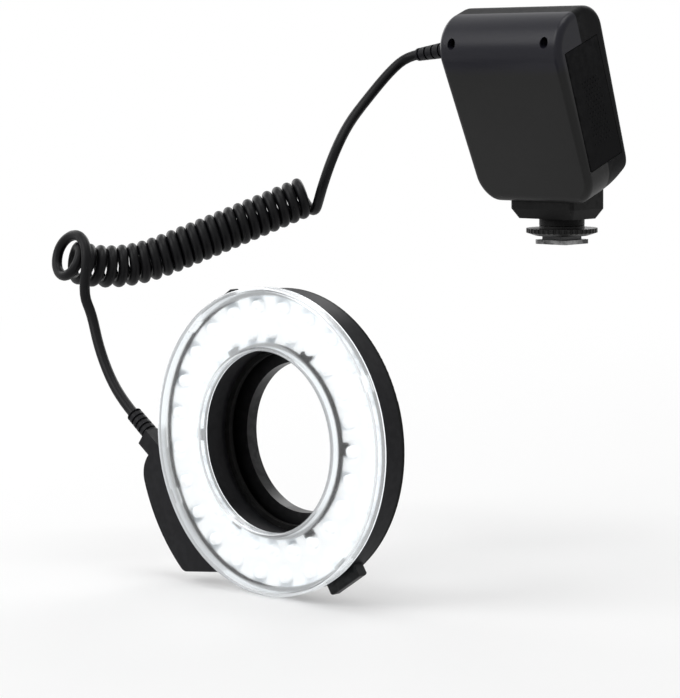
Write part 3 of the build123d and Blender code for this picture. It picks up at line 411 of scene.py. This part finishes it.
# Finishes of the opaque pieces
finishes = {
    "ringPlastic": {"colour": (0.004, 0.004, 0.004), "roughness": 0.5, "specular": 0.08, "grain": 0.12,
                    "drift": 0.06, "marks": 0.03, "rub": 0.15},
    "lugPlastic": {"colour": (0.007, 0.007, 0.0085), "roughness": 0.46, "specular": 0.12, "grain": 0.1,
                   "drift": 0.06, "marks": 0.03, "rub": 0.15},
    "doorPlastic": {"colour": (0.003, 0.003, 0.0035), "roughness": 0.5, "specular": 0.04, "grain": 0.2},
    "rearPlastic": {"colour": (0.0035, 0.0035, 0.004), "roughness": 0.48, "specular": 0.06, "grain": 0.2},
    "footPlastic": {"colour": (0.004, 0.004, 0.004), "roughness": 0.5, "specular": 0.1, "grain": 0.18},
    "cordRubber": {"colour": (0.0035, 0.0035, 0.0042), "roughness": 0.42, "specular": 0.13, "grain": 0.06,
                   "grainScale": 900, "marks": 0.14, "marksScale": 120, "drift": 0.3},
    "reliefRubber": {"colour": (0.006, 0.006, 0.0075), "roughness": 0.5, "specular": 0.13, "grain": 0.1},
    "buttonPlastic": {"colour": (0.006, 0.007, 0.008), "roughness": 0.38, "specular": 0.18, "grain": 0.14},
    "anodisedBlack": {"colour": (0.009, 0.009, 0.010), "roughness": 0.38, "metallic": 0.7, "grain": 0.08,
                      "rub": 0.15, "rubbed": (0.12, 0.12, 0.12), "coat": 0.04, "drift": 0.06, "marks": 0.03},
    "greyKeys": {"colour": (0.16, 0.165, 0.17), "roughness": 0.5, "grain": 0.08},
    "whitePlastic": {"colour": (0.88, 0.89, 0.9), "roughness": 0.4, "grain": 0.04, "rub": 0.0},
    "boardGreen": {"colour": (0.015, 0.12, 0.05), "roughness": 0.32, "coat": 0.5, "grain": 0.05,
                   "drift": 0.5},
    "chipBlack": {"colour": (0.02, 0.02, 0.021), "roughness": 0.55, "grain": 0.2},
    "displayGrey": {"colour": (0.34, 0.4, 0.33), "roughness": 0.3, "grain": 0.02, "rub": 0.0},
    "trayPlastic": {"colour": (0.02, 0.02, 0.022), "roughness": 0.5, "grain": 0.15},
    "cellJacket": {"colour": (0.05, 0.19, 0.36), "roughness": 0.28, "coat": 0.6, "grain": 0.02},
    "springSteel": {"colour": (0.55, 0.55, 0.56), "roughness": 0.28, "metallic": 1, "grain": 0.05},
    "contactMetal": {"colour": (0.83, 0.66, 0.34), "roughness": 0.25, "metallic": 1, "grain": 0.05},
    "screwSteel": {"colour": (0.02, 0.02, 0.021), "roughness": 0.35, "metallic": 0.9, "grain": 0.08,
                   "rub": 0.6, "rubbed": (0.15, 0.15, 0.15)},
    "shoeMetal": {"colour": (0.05, 0.05, 0.051), "roughness": 0.34, "metallic": 0.9, "grain": 0.1,
                  "rub": 0.7, "rubbed": (0.35, 0.35, 0.35)},
    "wheelPlastic": {"colour": (0.005, 0.005, 0.005), "roughness": 0.42, "specular": 0.18, "grain": 0.15},
    "markWhite": {"colour": (0.75, 0.76, 0.77), "roughness": 0.5, "grain": 0.03, "rub": 0.0},
    "segmentBlack": {"colour": (0.02, 0.025, 0.02), "roughness": 0.4, "grain": 0.02, "rub": 0.0},
}
surfaces = {name: makeSurface(name, look) for name, look in finishes.items()}


# The front shell: matte face, with a smoother band round its top, tinted cool as a painted reflection of the
# overhead light
frontShell = {
    "face": {"colour": (0.009, 0.009, 0.009), "roughness": 0.47, "specular": 0.2, "grain": 0.16},
    "bandRange": (0.088, 0.094),        # measured up the leaning unit
    # cool tint painted on the band as a reflection of the overhead light
    "bandSheenTint": (0.009, 0.009, 0.014, 1),
    "bandRoughness": 0.3,
}


def makeFrontShell(f):
    material = makeSurface("frontShell", f["face"])
    tree = material.node_tree
    shader = tree.nodes["Principled BSDF"]
    along = addNode(tree, "ShaderNodeVectorMath", operation="DOT_PRODUCT")
    along.inputs[1].default_value = (0, -sin(lean), cos(lean))
    tree.links.new(objectPlace(tree), along.inputs[0])
    mask = rampNode(tree, along.outputs["Value"], *f["bandRange"])
    # the band's cool colour is a painted reflection; its lower roughness is the shell's own
    for socket, value, kind in (("Base Color", f["bandSheenTint"], "RGBA"),
                                ("Roughness", f["bandRoughness"], "FLOAT")):
        face = shader.inputs[socket].links[0].from_socket
        tree.links.new(mixNode(tree, mask, face, value, kind), shader.inputs[socket])
    return material


# Clear plastic of the ring's cover and the display's window
clearPlastic = {
    "ior": 1.47,
    "specular": 0.5,
    "drift": 0.03,
    "driftScale": 30,
    "marks": 0.06,
    "marksScale": 90,
    "grain": 0.05,
    "grainScale": 180,
    "pits": 0.1,
    # grey painted on the cover's rim and inner wall as shade
    "rimShadeGrey": (0.66, 0.68, 0.69, 1),
}
clearFaces = {
    "clearCover": {"colour": (0.97, 0.975, 0.97), "roughness": 0.2, "rimStrength": 0.22},
    "smokedWindow": {"colour": (0.32, 0.33, 0.34), "roughness": 0.03},
}


def makeClear(name, look):
    look = {**plainLook, **clearPlastic, **look}
    material, tree, shader = newMaterial(name)
    shader.inputs["Transmission Weight"].default_value = 1
    shader.inputs["IOR"].default_value = look["ior"]
    tone = addTone(tree, shader, look)
    addGloss(tree, shader, look)
    if "rimStrength" in look:
        rim = placeGroup(tree, rimGroup)
        tree.links.new(rim.outputs["Color"], shader.inputs["Emission Color"])
        shader.inputs["Emission Strength"].default_value = look["rimStrength"]
        # under the rim light, the cover's colour is greyed too: painted shade of the grey rim band
        tinted = mixNode(tree, rim.outputs["Mask"], tone, look["rimShadeGrey"])
        tree.links.new(tinted, shader.inputs["Base Color"])
    return material


# White plate and diodes, lit from within; only the plate has dimmer gaps
litFaces = {
    "litPlate": {"strength": 0.26, "dim": 0.95},
    "litDiode": {"strength": 0.35},
}


def makeLit(name, lit):
    material, tree, shader = newMaterial(name)
    addGloss(tree, shader, {**plainLook, **finishes["whitePlastic"]})
    shader.inputs["Emission Strength"].default_value = lit["strength"]
    colour = glowSet["lit"]
    if "dim" in lit:
        colour = placeGroup(tree, glowGroup, Dim=lit["dim"]).outputs["Color"]
    for socket in ("Emission Color", "Base Color"):
        feed(tree, colour, shader.inputs[socket])
    return material


surfaces["frontShell"] = makeFrontShell(frontShell)
surfaces.update({name: makeClear(name, look) for name, look in clearFaces.items()})
surfaces.update({name: makeLit(name, lit) for name, lit in litFaces.items()})
print("stage 3:", len(surfaces), "surfaces made")

# Which finish each piece of the frame gets
dress = {
    "frontShell": ["unit_front_shell"],
    "rearPlastic": ["unit_rear_shell"],
    "doorPlastic": ["battery_door"],
    "footPlastic": ["foot_block"],
    "lugPlastic": ["ring_housing"],
    "ringPlastic": ["ring_back_cover"],
    "clearCover": ["clear_cover"],
    "litPlate": ["reflector"],
    "litDiode": ["leds"],
    "whitePlastic": ["led_board"],
    "boardGreen": ["main_board"],
    "chipBlack": ["board_chips", "tact_switches"],
    "anodisedBlack": ["adapter_ring"],
    "reliefRubber": ["ring_strain_relief", "unit_strain_relief"],
    "buttonPlastic": ["release_button_left", "release_button_right", "power_switch"],
    "greyKeys": ["mode_button", "minus_button", "plus_button", "light_button", "test_button"],
    "smokedWindow": ["display_window"],
    "displayGrey": ["display_module"],
    "trayPlastic": ["battery_tray"],
    "cellJacket": ["battery_cells"],
    "springSteel": ["cell_springs", "release_spring_left", "release_spring_right", "contact_spring",
                    "door_hinge_pin", "door_contacts"],
    "contactMetal": ["centre_contact"],
    "screwSteel": ["ring_screws", "shell_screws", "board_screws", "foot_screws"],
    "shoeMetal": ["hot_shoe_foot"],
    "wheelPlastic": ["locking_wheel"],
    "cordRubber": ["cord_upper", "cord_coil", "cord_lower"],
}
for finish, names in dress.items():
    for name in names:
        slots = nodes[name].data.materials
        for i in range(len(slots)):
            slots[i] = surfaces[finish]
        if not len(slots):
            slots.append(surfaces[finish])
print("stage 4: frame dressed")


# The cord: a free stretch, the coil and a second free stretch, on one line. Lengths are in metres;
# leadTurns, firstSettle, returnStart, returnTurns, riseStart and riseTurns count turns of the coil
cordSet = {
    "diameter": 0.00475,
    "length": 1.293,
    "pointsPerTurn": 16,
    "lineSteps": 4,
    "sideSteps": 6,
    "axisSteps": 400,
    "headingStep": 0.001,       # in turns, to find which way the coil's ends point
    "axis": [(-0.0791, -0.0875, 0.0242), (-0.1033, -0.1246, 0.0066),
             (-0.1340, -0.1631, -0.0119), (-0.1418, -0.1859, -0.0021)],
    "turns": 24,
    "firstTurn": 0.125,
    "radiusStart": 0.00712,
    "radiusEnd": 0.00742,
    "pitchGrowth": 0.098,
    "pitchSwell": 0.0121,
    "leadShift": 0.0028,
    "leadTurns": 0.3,
    "firstRise": 0.0003,
    "firstSettle": 0.8,
    "loopSwing": 0.0011,
    "swingPower": 1.6,
    "loopReturn": 0.010,
    "returnStart": 0.55,
    "returnTurns": 0.6,
    "loopRise": 0.0055,
    "riseStart": 0.3,
    "riseTurns": 0.65,
    "tailExit": 0.0085,
    "tailLead": 0.0141,
    "upperRoute": [(-0.0641, -0.0485, 0.0807), (-0.0659, -0.0625, 0.0678),
                   (-0.0648, -0.0765, 0.0567), (-0.0610, -0.0900, 0.0438)],
    "lowerRoute": [(-0.1243, -0.1830, -0.0270), (-0.1178, -0.1850, -0.0411),
                   (-0.1081, -0.1870, -0.0547)],
    "unitRelief": {"x": -0.0312, "y": -0.0045, "z": 0.0995, "length": 0.0223, "droop": 7.0},
    "ringRelief": {"base": (-0.0793, -0.0049), "tip": (-0.0907, 0.0035), "depth": 0.010},
}


def smoothStep(x):
    x = min(max(x, 0), 1)
    return x * x * (3 - 2 * x)


def axisLine(points, count):
    a, b, c, d = (Vector(p) for p in points)
    middle = (b + c) / 2
    line = []
    for first, second, third in ((a, b, middle), (middle, c, d)):
        for i in range(count):
            t = i / count
            line.append(first * (1 - t) ** 2 + second * (2 * t * (1 - t)) + third * t * t)
    line.append(d)
    reach = [0.0]
    for p, q in zip(line, line[1:]):
        reach.append(reach[-1] + (q - p).length)
    return line, reach


def axisStation(line, reach, s):
    inside = min(max(s, 0), reach[-1])
    low, high = 0, len(reach) - 1
    while high - low > 1:
        middle = (low + high) // 2
        low, high = (middle, high) if reach[middle] <= inside else (low, middle)
    ahead = (line[high] - line[low]).normalized()
    point = line[low] + ahead * (s - reach[low])
    up = (Vector((0, 0, 1)) - ahead * ahead.z).normalized()
    return point, up, up.cross(ahead)


def coilPoint(c, line, reach, turn, spread=1.0):
    share = turn / c["turns"]
    regular = share * (1 - c["pitchGrowth"] + c["pitchGrowth"] * share)
    regular += c["pitchSwell"] * sin(2 * pi * share)
    lead = c["leadShift"] * max(1 - turn / c["leadTurns"], 0) ** 2
    last = max(turn - c["turns"] + 1, 0)
    swing = c["loopSwing"] * sin(pi * last) ** c["swingPower"] if 0 < last < 1 else 0
    back = c["loopReturn"] * smoothStep((last - c["returnStart"]) / c["returnTurns"])
    radius = c["radiusStart"] + (c["radiusEnd"] - c["radiusStart"]) * share
    radius += c["firstRise"] * (1 - smoothStep(turn / c["firstSettle"]))
    radius += c["loopRise"] * smoothStep((last - c["riseStart"]) / c["riseTurns"])
    point, up, outward = axisStation(line, reach, reach[-1] * regular - lead + swing - back)
    angle = 2 * pi * turn + pi / 2
    return point + (up * cos(angle) + outward * sin(angle)) * radius * spread


def cordRoute(c):
    line, reach = axisLine(c["axis"], c["axisSteps"])
    first, last, step = c["firstTurn"], c["turns"], c["headingStep"]
    start, beside = (coilPoint(c, line, reach, t) for t in (first, first + step))
    end, before = (coilPoint(c, line, reach, t) for t in (last, last - step))
    heading = (beside - start).normalized()
    leaving = (end - before).normalized()
    relief = c["unitRelief"]
    droop = radians(relief["droop"])
    out = (unitMatrix.to_3x3() @ Vector((-cos(droop), 0, -sin(droop)))).normalized()
    unitTip = unitMatrix @ Vector((relief["x"], relief["y"], relief["z"])) + out * relief["length"]
    ring = c["ringRelief"]
    base, tip = (ringCentre + Vector((x, ring["depth"], z)) for x, z in (ring["base"], ring["tip"]))
    ringOut = (tip - base).normalized()
    count = c["pointsPerTurn"]
    spread = 1 / cos(pi / count)      # the line cuts inside its points
    turns = [first] + [i / count for i in range(int(first * count) + 1, last * count + 1)]
    route = [unitTip, unitTip + out * c["tailExit"]] + [Vector(p) for p in c["upperRoute"]]
    route.append(start - heading * c["tailLead"])
    route += [coilPoint(c, line, reach, t, spread) for t in turns]
    route.append(end + leaving * c["tailLead"])
    route += [Vector(p) for p in c["lowerRoute"]] + [tip + ringOut * c["tailExit"], tip]
    return route


def makeCord(c):
    route = cordRoute(c)
    data = bpy.data.curves.new("curlyCord", "CURVE")
    data.dimensions = "3D"
    spline = data.splines.new("NURBS")
    spline.points.add(len(route) - 1)
    for point, place in zip(spline.points, route):
        point.co = (*place, 1)
    spline.order_u = 3
    spline.use_endpoint_u = True
    data.resolution_u = c["lineSteps"]
    cord = bpy.data.objects.new("curlyCord", data)
    bpy.context.scene.collection.objects.link(cord)
    bpy.context.view_layer.update()
    line = bpy.data.meshes.new_from_object(cord.evaluated_get(bpy.context.evaluated_depsgraph_get()))
    places = [v.co for v in line.vertices]
    print("cord length", round(sum((b - a).length for a, b in zip(places, places[1:])), 4))
    bpy.data.meshes.remove(line)
    data.bevel_depth = c["diameter"] / 2
    data.bevel_resolution = c["sideSteps"]
    data.use_fill_caps = True
    data.materials.append(surfaces["cordRubber"])
    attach(cord, "root")
    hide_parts("cord_upper", "cord_coil", "cord_lower")


makeCord(cordSet)
print("stage 5: cord wound")


def linkMesh(name, mesh, surface, body):
    data = bpy.data.meshes.new(name)
    mesh.to_mesh(data)
    mesh.free()
    data.materials.append(surfaces[surface])
    piece = bpy.data.objects.new(name, data)
    bpy.context.scene.collection.objects.link(piece)
    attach(piece, body)
    return piece


# Grip dots on the battery door
gripDots = {
    "radius": 0.00042,
    "height": 0.00022,
    "pitch": 0.0021,
    "rows": 15,
    "columns": 6,
    "low": 0.0505,
    "front": 0.0002,
    "stagger": 0.5,
}


def makeGripDots(d):
    mesh = bmesh.new()
    flatten = Matrix.Scale(d["height"] / d["radius"], 4, (1, 0, 0))
    for row in range(d["rows"]):
        for column in range(d["columns"]):
            z = d["low"] + row * d["pitch"]
            y = d["front"] + (column + d["stagger"] * (row % 2)) * d["pitch"]
            x = layout["sideBottom"] + layout["sideSlope"] * (z - layout["unitBottom"])
            spot = unitMatrix @ Matrix.Translation((x, y, z)) @ flatten
            bmesh.ops.create_icosphere(mesh, subdivisions=2, radius=d["radius"], matrix=spot)
    piece = linkMesh("doorGripDots", mesh, "doorPlastic", "door")
    for polygon in piece.data.polygons:
        polygon.use_smooth = True


makeGripDots(gripDots)


# A small flat bar with rounded corners
barShape = {"cornerShare": 0.3, "cornerSteps": 3}


def barOn(mesh, matrix, centre, size, rise):
    corner, steps = min(size) * barShape["cornerShare"], barShape["cornerSteps"]
    outline = []
    for sx, sy, start in ((1, 1, 0), (-1, 1, 90), (-1, -1, 180), (1, -1, 270)):
        for k in range(steps + 1):
            a = radians(start + 90 * k / steps)
            outline.append(Vector((centre[0] + sx * (size[0] / 2 - corner) + corner * cos(a),
                                   centre[1] + sy * (size[1] / 2 - corner) + corner * sin(a), 0)))
    low = [mesh.verts.new(matrix @ (p + Vector((0, 0, rise[0])))) for p in outline]
    high = [mesh.verts.new(matrix @ (p + Vector((0, 0, rise[1])))) for p in outline]
    mesh.faces.new(high)
    mesh.faces.new(list(reversed(low)))
    for i in range(len(outline)):
        j = (i + 1) % len(outline)
        mesh.faces.new((low[i], low[j], high[j], high[i]))


# Plain marks on the keys, as strokes: place across and up, share of the bar across and up
keyMarks = {
    "spacing": 0.015,
    "y": -0.006,
    "stand": 0.0013,
    "thickness": 0.0001,
    "bar": 0.0028,
    "stroke": 0.0005,
    "crossLift": 0.00001,       # keeps the second stroke's face clear of the first
    "strokes": {
        "mode": [(0, 0.0008, 1, 0), (0, -0.0008, 1, 0)],
        "minus": [(0, 0, 1, 0)],
        "plus": [(0, 0, 1, 0), (0, 0, 0, 1)],
        "light": [(0, 0, 0.35, 0.35)],
    },
}


def makeKeyMarks(k):
    bottom, top = k["stand"] - k["thickness"] / 2, k["stand"] + k["thickness"]
    middle = (len(k["strokes"]) - 1) / 2
    for i, (name, strokes) in enumerate(k["strokes"].items()):
        mesh = bmesh.new()
        for x, y, wide, tall in strokes:
            place = ((i - middle) * k["spacing"] + x, k["y"] + y)
            size = [max(k["bar"] * share, k["stroke"]) for share in (wide, tall)]
            lift = k["crossLift"] if tall else 0
            barOn(mesh, panelMatrix, place, size, (bottom, top + lift))
        linkMesh(name + "Mark", mesh, "markWhite", name + "_key")


makeKeyMarks(keyMarks)


# Unlit seven-bar digits and a scale on the display, under its window
segments = {
    "centre": (0.0, 0.017),
    "digits": (-0.0125, -0.0045, 0.0045, 0.0125),
    "width": 0.0046,
    "height": 0.0086,
    "stroke": 0.0009,
    "rowTrim": 1.6,         # in strokes, so that the bars don't meet
    "sideTrim": 1.4,
    "depth": (-0.00156, -0.00149),
    "scaleTicks": 9,
    "tick": (0.0022, 0.0008),
    "tickPitch": 1.5,       # in ticks
    "tickDrop": 0.0073,
}


def makeSegments(g):
    mesh = bmesh.new()
    x0, y0 = g["centre"]
    wide = (g["width"] - g["stroke"] * g["rowTrim"], g["stroke"])
    tall = (g["stroke"], g["height"] / 2 - g["stroke"] * g["sideTrim"])
    bars = []
    for x in g["digits"]:
        bars += [((x0 + x, y0 + row * g["height"] / 2), wide) for row in (-1, 0, 1)]
        bars += [((x0 + x + side * g["width"] / 2, y0 + half * g["height"] / 4), tall)
                 for side in (-1, 1) for half in (-1, 1)]
    for i in range(g["scaleTicks"]):
        x = x0 + (i - (g["scaleTicks"] - 1) / 2) * g["tick"][0] * g["tickPitch"]
        bars.append(((x, y0 - g["tickDrop"]), g["tick"]))
    for place, size in bars:
        barOn(mesh, panelMatrix, place, size, g["depth"])
    linkMesh("displaySegments", mesh, "segmentBlack", "root")


makeSegments(segments)

# Springs beside the piece they push: each only gets a mesh of its own
springSet = {
    "release_spring_left": {"joint": "release_left_press", "push": (0.544639, 0, -0.838671),
                            "stroke": 0.0022},
    "release_spring_right": {"joint": "release_right_press", "push": (-0.544639, 0, 0.838671),
                             "stroke": 0.0022},
    "contact_spring": {"joint": "contact_press", "push": (0, 0, 1), "stroke": 0.0005},
}


def squashSpring(name):
    piece = nodes[name]
    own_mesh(piece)


for springName, spring in springSet.items():
    squashSpring(springName)
print("stage 6: small pieces made")

# Studio: pale floor that melts into the white background, soft lamps
studio = {
    "floorGap": 0.001,
    "floorHalf": 6.0,
    "floorCells": 8,
    "floorColour": (0.9, 0.9, 0.9, 1),
    "floorRoughness": 0.9,
    "floorSpecular": 0.1,
    "floorMelt": (0.25, 1.2, 0.35, 1.0),        # from and to this far out, and how white it gets
    "ambient": 0.24,
    "lamps": {
        "frontSoftbox": {"place": (-0.9, -2.0, 1.3), "size": 1.6, "power": 33},
        "topSoftbox": {"place": (0.1, -0.2, 1.9), "size": 1.2, "power": 15},
        "leftFill": {"place": (-1.8, 0.2, 0.7), "size": 1.2, "power": 9},
        "rearSoftbox": {"place": (-0.7, 2.0, 1.2), "size": 1.4, "power": 20},
    },
    "aim": (0, -0.1, 0.0),
}


# White for the camera, in reflections and through clear plastic
def seenRays(tree):
    path = tree.nodes.new("ShaderNodeLightPath")
    through = mathNode(tree, "MAXIMUM", path.outputs["Is Glossy Ray"], path.outputs["Is Transmission Ray"])
    return mathNode(tree, "MAXIMUM", path.outputs["Is Camera Ray"], through)


def makeWorld():
    world = bpy.data.worlds.new("studio")
    bpy.context.scene.world = world
    world.use_nodes = True
    tree = world.node_tree
    back = tree.nodes["Background"]
    strength = mathNode(tree, "MULTIPLY_ADD", seenRays(tree), 1 - studio["ambient"], studio["ambient"])
    back.inputs["Color"].default_value = (1, 1, 1, 1)
    tree.links.new(strength, back.inputs["Strength"])


def makePaper():
    material, tree, shader = newMaterial("palePaper")
    for socket, key in (("Base Color", "floorColour"), ("Roughness", "floorRoughness"),
                        ("Specular IOR Level", "floorSpecular")):
        shader.inputs[socket].default_value = studio[key]
    white = addNode(tree, "ShaderNodeEmission")
    distance = addNode(tree, "ShaderNodeVectorMath", operation="LENGTH")
    tree.links.new(objectPlace(tree), distance.inputs[0])
    far = rampNode(tree, distance.outputs["Value"], *studio["floorMelt"])
    mix = tree.nodes.new("ShaderNodeMixShader")
    tree.links.new(mathNode(tree, "MULTIPLY", far, seenRays(tree)), mix.inputs[0])
    tree.links.new(shader.outputs[0], mix.inputs[1])
    tree.links.new(white.outputs[0], mix.inputs[2])
    tree.links.new(mix.outputs[0], tree.nodes["Material Output"].inputs["Surface"])
    return material


def makeFloor():
    mesh = bmesh.new()
    bmesh.ops.create_grid(mesh, x_segments=studio["floorCells"], y_segments=studio["floorCells"],
                          size=studio["floorHalf"])
    data = bpy.data.meshes.new("paleFloor")
    mesh.to_mesh(data)
    mesh.free()
    data.materials.append(makePaper())
    floor = bpy.data.objects.new("paleFloor", data)
    floor.location = (0, 0, cadBounds[0][2] - studio["floorGap"])
    bpy.context.scene.collection.objects.link(floor)


def makeLamps():
    for name, lamp in studio["lamps"].items():
        data = bpy.data.lights.new(name, "AREA")
        data.size = lamp["size"]
        data.energy = lamp["power"]
        light = bpy.data.objects.new(name, data)
        towards = Vector(studio["aim"]) - Vector(lamp["place"])
        turn = towards.to_track_quat("-Z", "Y").to_matrix().to_4x4()
        light.matrix_world = Matrix.Translation(lamp["place"]) @ turn
        bpy.context.scene.collection.objects.link(light)


makeWorld()
makeFloor()
makeLamps()
print("stage 7: studio lit")
